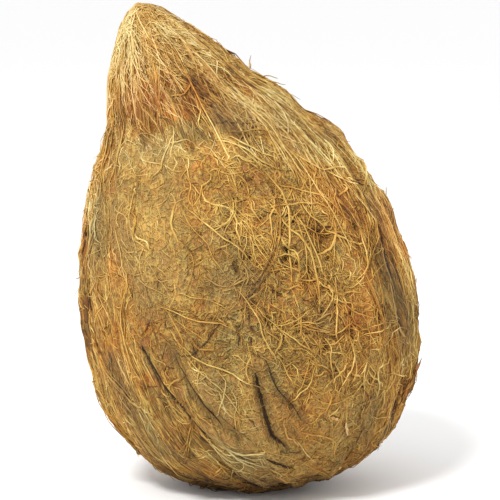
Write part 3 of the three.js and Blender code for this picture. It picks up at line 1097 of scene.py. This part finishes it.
# ---- Tuft fibres ----
# The long fibres of the stalk end, which were never pulled off: they run down from the tip, wavy and
# crossed over each other, and on the front left they were cut short at the collar. Others are folded over
# the tip.
TUFT_COUNT = 2300
TUFT_STEPS = 11
TUFT_FIBRE_LENGTH = (16, 52)
TUFT_RISE = (-0.2, (0.2, 1.1))
TUFT_FIBRE_RADIUS = (0.07, 0.21)
TUFT_TONE = (0.14, 0.19)
TUFT_BOTTOM = 112
FROM_TIP_SHARE = 0.45  # of the fibres, which start close under the tip
FROM_TIP = (1, 9)  # how far under it
CUT_RAGGED = (-1.0, 4.0)  # how far past the collar's edge the cut fibres reach
CUT_SLACK = 1.08  # a wavy fibre is this much longer than its way
SHORTEST_CUT = 2
TIP_COUNT = 260
TIP_STEPS = 9
TIP_REACH = (6, 13)  # from the middle of a folded fibre to its ends
TIP_RADIUS = (0.13, 0.3)
TIP_FLAT = 0.2  # share of its rise that a folded fibre keeps over the very tip
TIP_ROWS = -1200  # the part of the fine outline that the tip spans
tuft_material = fibre_material("tuft_straw", 0.08, 0.4, 0.55)


def tuft_weight(turn, height):
    return smoothstep(height, TUFT_BOTTOM, 128)


turn, height = start_places(TUFT_COUNT, tuft_weight, low=TUFT_BOTTOM)
from_tip = rng.random(TUFT_COUNT) < FROM_TIP_SHARE
height = np.where(from_tip, TOTAL_LENGTH - thin_mostly(*FROM_TIP, TUFT_COUNT), height)
to_collar = (height - collar_edge(turn) + between(*CUT_RAGGED, TUFT_COUNT)) * CUT_SLACK
uncut = between(*TUFT_FIBRE_LENGTH, TUFT_COUNT)
turns, heights = walk(
    turn,
    height,
    flow(turn, height) + rng.normal(0, 0.3, TUFT_COUNT),
    np.where(cut_at_collar(turn), np.maximum(to_collar, SHORTEST_CUT), uncut),
    TUFT_STEPS,
    wander=0.006,
    pull=0.12,
    kink=0.15,
)
lay_woven("tuft_fibres", turns, heights, TUFT_RISE, TUFT_FIBRE_RADIUS, TUFT_TONE, tuft_material)

tip_facing = between(0, 2 * math.pi, TIP_COUNT)
tip_aside = rng.normal(0, 3.2, TIP_COUNT)
tip_along = np.linspace(-1, 1, TIP_STEPS + 1) * between(*TIP_REACH, TIP_COUNT)[:, None]
tip_along = tip_along + rng.normal(0, 2.5, TIP_COUNT)[:, None]
tip_across = tip_aside[:, None] + rng.normal(0, 0.25, tip_along.shape)
tip_turns = np.degrees(np.arctan2(tip_across, tip_along) + tip_facing[:, None])
off_axis = np.hypot(tip_along, tip_across)
tip_rise = weave(tip_turns, 0.0, (0.4, 1.9), sink=0.5)
lay_fibres(
    "tip_fibres",
    tip_turns,
    np.interp(-off_axis, -fine_radii[TIP_ROWS:], fine_heights[TIP_ROWS:]),
    tip_rise * (TIP_FLAT + (1 - TIP_FLAT) * smoothstep(off_axis, 1, TIP_REACH[0])),
    thin_mostly(*TIP_RADIUS, TIP_COUNT),
    rng.normal(0.16, 0.14, TIP_COUNT),
    tuft_material,
)

# ---- Strand bundles ----
# Thick strands of coir stuck to the coat: the solid's own loose and combed strands, each drawn here as a
# few fibres twisted round its path. The draw repeats the solid's, so that they lie where its strands do.
STRAND_STEPS = 7
STRAND_SINK = 1.4  # at its ends
STRAND_LIFT = 0.55  # at its middle
STRAND_LEAST_RADIUS = 12  # of the circle on which it turns
LOOSE_COUNT = 28
LOOSE_LENGTH = (22, 44)
LOOSE_LOWEST = 26
LOOSE_HIGHEST = 128
LOOSE_HEADING = 1.0  # radians either side of straight down
LOOSE_BEND = 0.035  # radians for each millimetre
LOOSE_TURN = 137.508  # from each to the next, which spreads them evenly
STALK_COUNT = 14  # the combed strands, which start under the stalk
STALK_LENGTH = (36, 54)
STALK_TOP = (4, 11)  # below the tip
STALK_HEADING = 0.1
STALK_BEND = 0.004
STALK_SHIFT = 0.3  # of the spacing
DRAW_SEED = 20
DRAW_FACTOR = 16807
DRAW_RANGE = 2147483647
BUNDLE_FIBRES = 5
BUNDLE_STEPS = 14
BUNDLE_RADIUS = 0.5
BUNDLE_TWIST = 0.25  # radians in a step of the solid's strand, at most
BUNDLE_STRAY = 2.2  # how far its fibres stray from the strand
BUNDLE_RAISE = 0.2  # how much higher they lie than it does
BUNDLE_FIBRE_RADIUS = (0.13, 0.27)


def solid_draws(state):
    """The row of whole numbers that the solid draws from, which has no end."""
    while True:
        state = state * DRAW_FACTOR % DRAW_RANGE
        yield state


strand_draws = solid_draws(DRAW_SEED)


def draw(low, high):
    return low + (high - low) * next(strand_draws) / DRAW_RANGE


def strand_path(turn, height, heading, bend, length):
    """Turn, height and rise at each step of a strand of the solid."""
    step = length / STRAND_STEPS
    path = []
    for i in range(STRAND_STEPS + 1):
        middle = math.sin(math.pi * i / STRAND_STEPS) ** 0.5 if 0 < i < STRAND_STEPS else 0
        path.append((turn, height, -STRAND_SINK + (STRAND_SINK + STRAND_LIFT) * middle))
        height -= step * math.cos(heading)
        turn += math.degrees(step * math.sin(heading) / max(float(outline(height)), STRAND_LEAST_RADIUS))
        heading += bend * step
    return path


paths = []
for index in range(LOOSE_COUNT):
    length = draw(*LOOSE_LENGTH)
    height = draw(LOOSE_LOWEST + length / 2, LOOSE_HIGHEST)
    heading, bend = draw(-LOOSE_HEADING, LOOSE_HEADING), draw(-LOOSE_BEND, LOOSE_BEND)
    paths.append(strand_path(index * LOOSE_TURN, height, heading, bend, length))
for index in range(STALK_COUNT):
    turn = 360 / STALK_COUNT * (index + draw(-STALK_SHIFT, STALK_SHIFT))
    height = TOTAL_LENGTH - draw(*STALK_TOP)
    heading, bend = draw(-STALK_HEADING, STALK_HEADING), draw(-STALK_BEND, STALK_BEND)
    paths.append(strand_path(turn, height, heading, bend, draw(*STALK_LENGTH)))

paths = np.repeat(np.array(paths), BUNDLE_FIBRES, axis=0)
long_steps = np.arange(STRAND_STEPS + 1)
short_steps = np.linspace(0, STRAND_STEPS, BUNDLE_STEPS + 1)
turns, heights, rises = [
    np.array([np.interp(short_steps, long_steps, path[:, part]) for path in paths]) for part in range(3)
]
bundle_count = len(paths)
start_angle = (np.arange(bundle_count) % BUNDLE_FIBRES) * 2 * math.pi / BUNDLE_FIBRES
twist = start_angle[:, None] + between(-BUNDLE_TWIST, BUNDLE_TWIST, bundle_count)[:, None] * short_steps
spread = BUNDLE_RADIUS * (0.8 + 0.5 * rng.random((bundle_count, 1)))
aside = spread * np.cos(twist) + BUNDLE_STRAY * (drift(BUNDLE_STEPS, bundle_count) - 0.5)
turns = turns + np.degrees(aside / np.maximum(outline(heights), STRAND_LEAST_RADIUS))
heights = heights + BUNDLE_STRAY * (drift(BUNDLE_STEPS, bundle_count) - 0.5)
lay_fibres(
    "strand_bundles",
    turns,
    np.clip(heights, LOWEST_HEIGHT, TOTAL_LENGTH - LOWEST_HEIGHT),
    rises + BUNDLE_RAISE - 0.5 * felting(turns, heights) + spread * np.sin(twist),
    between(*BUNDLE_FIBRE_RADIUS, bundle_count),
    rng.normal(-0.08, 0.12, bundle_count),
    combed_material,
)

# ---- Marked strands ----
# The strands that stand out one by one on the front: kinked golden ones over the tangle, pale ones along
# the lower left and across the felt, a few dark ones sunk into the tuft, and two short black stubs that
# are painted shade in a hole by the tip. Each is laid with a thinner one that strays beside it.
MARKED_STEPS = 14
MARKED_SWELL = 1.1  # all are this much thicker than their rows say
MARKED_LONG = 20  # strands longer than this lie nearly straight
STRAIGHT_KINK = 0.16
CROOKED_KINK = 0.24
DARK_SINK = 0.5  # how much deeper the dark ones lie
COMPANION_THINNER = 0.4
COMPANION_DARKER = 0.1
MARKED = [  # turn, height, heading, bend in degrees a millimetre, length, radius, tone
    (-66, 105, 15, 0.0, 42, 0.36, 0.16),
    (-57, 92, 16, 0.0, 30, 0.32, 0.14),
    (-70, 94, 24, -0.9, 42, 0.4, 0.14),
    (-61, 88, 12, 0.0, 26, 0.3, 0.14),
    (-79, 116, 40, -1.2, 24, 0.3, 0.16),
    (-82, 101, 14, -1.4, 16, 0.26, 0.12),
    (-48, 108, 8, 0.3, 40, 0.26, 0.18),
    (-40, 104, 6, 0.0, 36, 0.24, 0.16),
    (-100, 101, 23, 0.0, 34, 0.28, 0.14),
    (-82, 100, 22, -2.6, 17, 0.26, 0.12),
    (-90, 74, 30, -0.4, 28, 0.27, 0.25),
    (-78, 56, 100, 0.0, 14, 0.24, 0.25),
    (-48, 79, -8, 0.0, 14, 0.42, 0.16),
    (-49, 61, 107, 0.0, 22, 0.24, 0.24),
    (-54, 66, -20, 2.4, 28, 0.28, 0.22),
    (-54, 45, 88, 0.0, 22, 0.24, 0.26),
    (-46, 39, 88, 0.0, 20, 0.22, 0.24),
    (-81, 59, 40, 3.2, 16, 0.28, 0.24),
    (-67, 50, 37, 0.0, 14, 0.28, 0.26),
    (-58, 48, 14, -3.4, 22, 0.26, 0.26),
    (-72, 44, -42, 2.8, 17, 0.24, 0.28),
    (-44, 30, 75, 0.0, 25, 0.24, 0.2),
    (-116, 66, 34, -0.7, 36, 0.27, 0.3),
    (-103, 52, 21, 0.0, 18, 0.24, 0.28),
    (-119, 34, 32, 0.6, 26, 0.26, 0.5),
    (-118, 31, 34, 0.6, 22, 0.24, 0.42),
    (-121, 34, 32, 0.6, 24, 0.24, 0.46),
    (-117, 27, 36, 0.8, 18, 0.22, 0.38),
    (-133, 90, 53, 0.0, 17, 0.18, 0.06),
    (-104, 92, 25, 0.0, 19, 0.18, 0.04),
    (-120, 76, 60, -1.2, 30, 0.25, 0.26),
    (-68, 138, -28, 0.0, 15, 0.28, 0.24),
    (-75, 127, 0, 0.0, 12, 0.26, 0.28),
    (-72, 115, 37, 0.0, 17, 0.3, 0.28),
    (-26, 113, -51, 0.0, 11, 0.24, 0.26),
    (-22, 105, -30, 0.0, 15, 0.26, 0.24),
    (-42, 90, 14, 0.0, 25, 0.36, 0.12),
    # painted shade: two short black stubs in the hole by the tip
    (-72, 157, 80, 0.0, 4, 0.4, -0.9),
    (-75, 156, 80, 0.0, 4, 0.4, -0.9),
    (-58, 153, 5, 0.0, 14, 0.14, -0.4),
    (-52, 146, 5, 0.0, 20, 0.14, -0.4),
    (-46, 138, 0, 0.0, 22, 0.14, -0.35),
    (-50, 130, -5, 0.0, 18, 0.14, -0.35),
    (-157, 105, 12, 0.0, 14, 0.3, 0.36),
    (-151, 107, -14, 0.0, 13, 0.28, 0.34),
]
turn, height, heading, bend, length, radius, tone = np.repeat(np.array(MARKED), 2, axis=0).T
companion = np.arange(len(turn)) % 2
turns, heights = walk(
    turn + companion * rng.normal(0, 1.2, len(turn)),
    height + companion * rng.normal(0, 1.5, len(turn)),
    np.radians(heading) + companion * rng.normal(0, 0.15, len(turn)),
    length,
    MARKED_STEPS,
    bend=np.radians(bend),
    kink=np.where(length > MARKED_LONG, STRAIGHT_KINK, CROOKED_KINK),
)
lay_fibres(
    "marked_strands",
    turns,
    heights,
    weave(turns, 0.5, (0.7, 1.1)) - DARK_SINK * (tone < 0)[:, None],
    MARKED_SWELL * radius * (1 - COMPANION_THINNER * companion),
    tone - COMPANION_DARKER * companion,
    loose_material,
)

# ---- Shoulder strands ----
# Long thin strands of coir that run out of the tuft and fan over the right shoulder. They grew with the
# tuft, are held at both ends, and stand clear of the coat in between.
SHOULDER_COUNT = 110
SHOULDER_STEPS = 12
SHOULDER_TURN = -30
SHOULDER_SPREAD = 17
SHOULDER_HEIGHT = (106, 150)
SHOULDER_LENGTH = (22, 56)
SHOULDER_RISE = (0.2, (0.6, 1.3))
SHOULDER_RADIUS = (0.1, 0.22)
SHOULDER_TONE = (0.12, 0.2)
turn = rng.normal(SHOULDER_TURN, SHOULDER_SPREAD, SHOULDER_COUNT)
height = between(*SHOULDER_HEIGHT, SHOULDER_COUNT)
turns, heights = walk(
    turn,
    height,
    flow(turn, height) + rng.normal(0.05, 0.14, SHOULDER_COUNT),
    between(*SHOULDER_LENGTH, SHOULDER_COUNT),
    SHOULDER_STEPS,
    pull=0.08,
    kink=0.1,
)
name = "shoulder_strands"
lay_woven(name, turns, heights, SHOULDER_RISE, SHOULDER_RADIUS, SHOULDER_TONE, loose_material)

# ---- Split shade fibres ----
# Near-black fibres laid along the bottom of each split in the coat: painted shade that makes its thin black
# line. They run along most of the split.
LINING_STEPS = 16
LINING_SPREAD = 0.5
LINING_TRIM = 0.25  # share of the split's length that a fibre may fall short of either end
LINING_RADIUS = (0.12, 0.3)
routes = [route for route, *_, fibres in SPLITS for _ in range(fibres)]
turns, heights = [], []
for route in routes:
    route_turns, route_heights = zip(*route)
    first, last = route_heights[0], route_heights[-1]
    trim = between(0, LINING_TRIM, 2) * (last - first)
    heights.append(np.linspace(first + trim[0], last - trim[1], LINING_STEPS + 1))
    turns.append(np.interp(heights[-1], route_heights, route_turns))
heights = np.array(heights)
lining_aside = 2 * LINING_SPREAD * (drift(LINING_STEPS, len(routes)) - 0.5)
turns = np.array(turns) + np.degrees(lining_aside / outline(heights))
# painted shade: near-black fibres along the splits
lay_fibres(
    "split_shade_fibres",
    turns,
    heights,
    weave(turns, 0.0, (0.1, 0.45)),
    between(*LINING_RADIUS, len(routes)),
    rng.normal(-0.75, 0.1, len(routes)),
    fibre_material("split_shade_coir", -0.15, age=0.05),
)

# ---- Stray fibres ----
# Fine fibres that have worked loose at one end and stand off the coat, all over, and a few thicker ones
# that stick out at the sides. Their other ends are still in the mat.
STRAY_COUNT = 500
STRAY_STEPS = 7
STRAY_LENGTH = (3, 9)
STRAY_LIFT = (0.6, 2.6)
STRAY_RADIUS = (0.08, 0.15)
STRAY_SINK = 0.2
LONE_RADIUS = 0.19
LONE_STRAYS = [  # turn, height, heading, length, lift
    (5, 127, 0.2, 9, 3.0),
    (6, 127, 0.5, 7, 3.6),
    (4, 128, 2.9, 5, 4.0),
    (5, 129, 2.2, 4, 3.4),
    (2.5, 75, 3.0, 5, 2.6),
    (2, 72, 1.6, 4, 3.0),
    (-3.5, 35, 0.4, 6, 2.6),
    (-177, 88, 1.2, 5, 1.6),
    (-2, 97, 0.1, 7, 2.2),
]
stray_turn, stray_height = start_places(STRAY_COUNT, low=8, high=TOTAL_LENGTH - 1)
drawn_strays = [
    stray_turn,
    stray_height,
    rng.normal(0, 0.8, STRAY_COUNT),
    between(*STRAY_LENGTH, STRAY_COUNT),
    thin_mostly(*STRAY_LIFT, STRAY_COUNT),
]
turn, height, heading, length, lift = np.hstack([drawn_strays, np.array(LONE_STRAYS).T])
turns, heights = walk(turn, height, heading, length, STRAY_STEPS, bend=rng.normal(0, 0.05, len(turn)))
climb = np.linspace(0, 1, STRAY_STEPS + 1) ** 1.6
radius = np.append(between(*STRAY_RADIUS, STRAY_COUNT), np.full(len(LONE_STRAYS), LONE_RADIUS))
lay_fibres(
    "stray_fibres",
    turns,
    heights,
    lift[:, None] * climb - STRAY_SINK,
    radius,
    rng.normal(0.1, 0.12, len(turn)),
    loose_material,
)

# ---- Husk flakes ----
# Thin scales of the husk's skin that were left on the coir when it was pulled away. They are pointed at
# both ends, curled a little, and still stick to the coir.
FLAKES = [  # turn, height, heading, length, width, rise, tone
    (-10, 25, 0.1, 5, 3.0, 1.0, 0.3),
    (-17, 20, 0.3, 6, 3.0, 1.2, 0.25),
    (-64, 19, 0.25, 6, 1.1, 0.6, 0.8),
    (-70, 25, 0.9, 4, 0.9, 0.5, 0.7),
    (3, 97, 0.1, 8, 2.0, 0.5, 0.5),
    (60, 30, 0.2, 9, 2.4, 0.4, 0.5),
    (96, 62, -0.2, 7, 1.8, 0.4, 0.3),
    (140, 44, 0.4, 8, 2.0, 0.4, 0.6),
    (165, 24, 0.0, 9, 2.2, 0.4, 0.4),
]
FLAKE_JAG = 0.3  # of the width
FLAKE_JAGS = 8  # radians of jag from the middle to an end
FLAKE_CURL = 0.15
FLAKE_CURLS = 3
FLAKE_END = 0.03  # how blunt its points are, as a share of the full width squared
FLAKE_POINT = 0.7
FLAKE_THICKNESS = 0.25
FLAKE_SEGMENTS = (16, 6)


def lay_on_coat(scale, turn, height, heading, length, width, rise):
    """Turns a flat square grid into a pointed flake that lies on the coat."""
    for vertex in scale.verts:
        run = vertex.co.x
        pointed = max(1 - run**2, FLAKE_END) ** FLAKE_POINT
        jag = 1 + FLAKE_JAG * math.sin(FLAKE_JAGS * run + turn)
        side = vertex.co.y * 0.5 * width * pointed * jag
        down = 0.5 * length * run
        along = down * math.cos(heading) - side * math.sin(heading)
        across = down * math.sin(heading) + side * math.cos(heading)
        own_height = np.array(height - along)
        own_turn = turn + math.degrees(across / max(float(outline(own_height)), LEAST_RADIUS))
        own_rise = rise * (1 - 0.5 * run) + FLAKE_CURL * math.sin(FLAKE_CURLS * run + side)
        vertex.co = Vector(coat_point(np.array(own_turn), own_height, own_rise)) * MM


def flake_mesh():
    """All flakes in one mesh, each with its thickness and its own tone."""
    joined = bmesh.new()
    tones = []
    for *place, tone in FLAKES:
        scale = bmesh.new()
        bmesh.ops.create_grid(scale, x_segments=FLAKE_SEGMENTS[0], y_segments=FLAKE_SEGMENTS[1], size=1)
        lay_on_coat(scale, *place)
        bmesh.ops.recalc_face_normals(scale, faces=scale.faces)
        bmesh.ops.solidify(scale, geom=scale.faces[:], thickness=FLAKE_THICKNESS * MM)
        bmesh.ops.recalc_face_normals(scale, faces=scale.faces)
        part = bpy.data.meshes.new("flake")
        scale.to_mesh(part)
        scale.free()
        tones += [tone] * len(part.vertices)
        joined.from_mesh(part)
        bpy.data.meshes.remove(part)
    mesh = bpy.data.meshes.new("husk_flakes")
    joined.to_mesh(mesh)
    joined.free()
    add_attribute(mesh, "tone", tones)
    mesh.polygons.foreach_set("use_smooth", [True] * len(mesh.polygons))
    return mesh


def flake_material():
    """Papery husk skin, brown and grainy, as dark or pale as its flake."""
    shader = Shader("husk_scale", 0.8, 0.12)
    grainy = shader.noise(shader.warped(shader.object_place(), 200, 0.004), 700, 4, 0.7)
    own_tone = shader.math("SUBTRACT", shader.attribute("tone"), 0.9)
    shade = shader.ramp(
        shader.math("MULTIPLY_ADD", grainy, 1.8, own_tone),
        (0.0, 100, 54, 24),
        (0.3, 150, 90, 46),
        (0.6, 184, 138, 78),
        (1.0, 208, 180, 130),
    )
    shader.colour_from(shade)
    shader.bump(grainy, 0.0006)
    return shader.material


flakes = new_object("husk_flakes", flake_mesh())
flakes.data.materials.append(flake_material())
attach(flakes, "root")

# ---- Floor, light and camera ----
# A wide pale floor under an even white sky, with one soft lamp up to the front left, and a long lens that
# looks down a little.
FLOOR_RADIUS = 20.0  # metres, as are all sizes of the lamp
FLOOR_SEGMENTS = 64
FLOOR_WHITE = 0.93
SKY_STRENGTH = 1.05
LAMP_PLACE = (-0.45, -0.95, 1.1)
LAMP_SIZE = 0.35
LAMP_POWER = 18
CAMERA_AIM = Vector((-1.0, 0, 75.6)) * MM
CAMERA_DISTANCE = 0.711  # metres
CAMERA_ELEVATION = 7
CAMERA_LENS = 161.3

disc = bmesh.new()
bmesh.ops.create_circle(disc, cap_ends=True, segments=FLOOR_SEGMENTS, radius=FLOOR_RADIUS)
floor_mesh = bpy.data.meshes.new("floor")
disc.to_mesh(floor_mesh)
disc.free()
floor = new_object("floor", floor_mesh)
floor_shader = Shader("pale_floor", 0.9)
floor_shader.colour_from((FLOOR_WHITE, FLOOR_WHITE, FLOOR_WHITE, 1))
floor_mesh.materials.append(floor_shader.material)

world = bpy.data.worlds.new("studio")
bpy.context.scene.world = world
world.use_nodes = True
sky = world.node_tree.nodes["Background"]
sky.inputs["Color"].default_value = (1, 1, 1, 1)
sky.inputs["Strength"].default_value = SKY_STRENGTH

light = bpy.data.lights.new("key_light", "AREA")
light.shape = "DISK"
light.size = LAMP_SIZE
light.energy = LAMP_POWER
lamp = new_object("key_light", light)
lamp.location = LAMP_PLACE

camera_data = bpy.data.cameras.new("camera")
camera_data.lens = CAMERA_LENS
camera = new_object("camera", camera_data)
tilt = math.radians(CAMERA_ELEVATION)
camera.location = CAMERA_AIM + Vector((0, -math.cos(tilt), math.sin(tilt))) * CAMERA_DISTANCE
for aimed in (lamp, camera):
    aimed.rotation_euler = (CAMERA_AIM - aimed.location).to_track_quat("-Z", "Y").to_euler()
bpy.context.scene.camera = camera
bpy.context.scene.view_settings.view_transform = "Standard"
